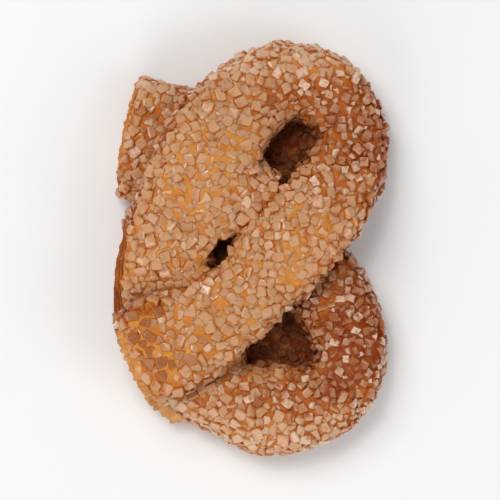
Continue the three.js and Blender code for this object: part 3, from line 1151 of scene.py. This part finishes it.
# A cut face of the strip: its middle, outward, side and top directions, and its section.
def cutFace(place, sign):
    centre, along, side, top, sizes = (part[0] for part in stripFrames(np.array([place])))
    share = endShare(place)
    return centre, along * sign, side, top, (sizes[0] * share, sizes[1] * share, sizes[2])


# Thin ragged layers that stand out of a face. They reach farther on one side by the lean.
def flakeLayers(face, reach, lean, draws):
    centre, outward, side, top, (halfWidth, halfHeight, squareness) = face
    points, quads, toasted, offset = [], [], [], 0
    count = 70  # points across a layer
    for height in np.arange(-halfHeight + 0.5, halfHeight - 0.3, flakes["pitch"]):
        level = height + draws.uniform(-flakes["pitchSpread"], flakes["pitchSpread"])
        fraction = min(abs(level) / halfHeight, 0.98)
        half = halfWidth * (1 - fraction ** squareness) ** (1 / squareness) + 0.35
        start, end = sorted(draws.uniform(-1, 1, 2)) if draws.random() < 0.25 else (-1, 1)
        if end - start < 0.5:
            start, end = -1, 1
        across = np.linspace(start, end, count) * half
        line = np.column_stack([across, np.full(count, level), np.zeros(count)])
        ragged = layeredNoise(line + (0, draws.uniform(0, 90), 0), 3.2, flakes["seed"])
        edge = blend(*reach, 0.5 + 0.5 * ragged)
        edge += draws.uniform(-flakes["reachSpread"], flakes["reachSpread"])
        edge += 0.45 * grainNoise(line + (0, draws.uniform(0, 90), 0), 1.5, flakes["seed"] + 9)
        edge -= flakes["drop"] * np.abs(across / half) ** 6 + lean * across / half
        broad, fine = flakes["wave"]
        wave = broad * grainNoise(line, 5.5, flakes["seed"] + 5)
        wave += fine * grainNoise(line, 1.6, flakes["seed"] + 6)
        droop = draws.uniform(*flakes["droop"])
        outs = (np.full(count, -flakes["root"]), edge)
        rows = []
        for atEdge, above in ((0, 1), (1, 1), (1, -1), (0, -1)):
            up = level + wave + above * flakes["thickness"][atEdge] / 2 - droop * atEdge
            spots = centre + np.outer(across, side) + np.outer(up, top)
            rows.append(spots + np.outer(outs[atEdge], outward))
        grid = np.arange(4 * count).reshape(4, count) + offset
        for near, far in zip(grid, np.roll(grid, -1, axis=0)):
            quads.append(np.column_stack([near[:-1], near[1:], far[1:], far[:-1]]))
        quads.append(grid[:, 0][None])
        quads.append(grid[:, -1][::-1][None])
        points.append(np.vstack(rows))
        toasted.append(np.repeat([0.2, 1.0, 1.0, 0.2], count))
        offset += 4 * count
    return np.vstack(points), np.vstack(quads), np.concatenate(toasted)


flakeLook = {
    "pale": linear(232, 184, 128),
    "golden": linear(202, 132, 64),
    "deep": linear(132, 62, 22),
    "mottleGrain": 500.0,
    "mottleStrength": 0.5,
}


def flakeMaterial():
    made, tree, shader = newMaterial("flaky_layers")
    feed(tree, shader, {
        "Base Color": bakedColour(tree, flakeLook),
        "Normal": grainNormal(tree, 1800.0, 0.3, 0.0002, 0.6),
        "Roughness": 0.6,
        "Subsurface Weight": 0.25,
        "Subsurface Radius": (1.0, 0.55, 0.25),
        "Subsurface Scale": 0.001,
    })
    return made


flakePieces = [  # name, face, least and most reach, lean, and how much paler
    ("upper_end_layers", cutFace(0.0, -1), (0.0, 2.6), 0.7, 0.1),
    ("tucked_end_layers", cutFace(1.0, 1), (-0.4, 0.9), 0.0, 0.0),
    ("pressed_out_layers", flakes["corner"], (-0.6, 3.4), 0.0, 0.14),
]


def addFlakes():
    draws = np.random.default_rng(flakes["seed"])
    material = flakeMaterial()
    for name, face, reach, lean, paleness in flakePieces:
        points, quads, toasted = flakeLayers(face, reach, lean, draws)
        points = np.clip(points, outerBox[0] + (0, 0, 0.02), outerBox[1])
        browned = 0.18 + 0.3 * toasted + 0.3 * layeredNoise(points, 3, 31) - paleness
        piece = makePiece(name, points, [quads], {"browned": browned}, material)
        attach(piece, "root")
        print(name + ":", len(quads) * 2, "triangles")


addDough()
addSugar()
addFlakes()


floor = {
    "half": 2500,
    "tones": ((0.86, 0.865, 0.87, 1), (0.89, 0.89, 0.89, 1)),
    "grain": 40.0,
    "roughness": 0.7,
}


def addFloor():
    made, tree, shader = newMaterial("pale_floor")
    tint = mixColours(tree, noiseOver(tree, floor["grain"], 3.0), *floor["tones"])
    feed(tree, shader, {"Base Color": tint, "Roughness": floor["roughness"]})
    half = floor["half"]
    corners = np.array([(-half, -half, 0), (half, -half, 0), (half, half, 0), (-half, half, 0)])
    makePiece("floor", corners, [[[0, 1, 2, 3]]], {}, made, False)


addFloor()
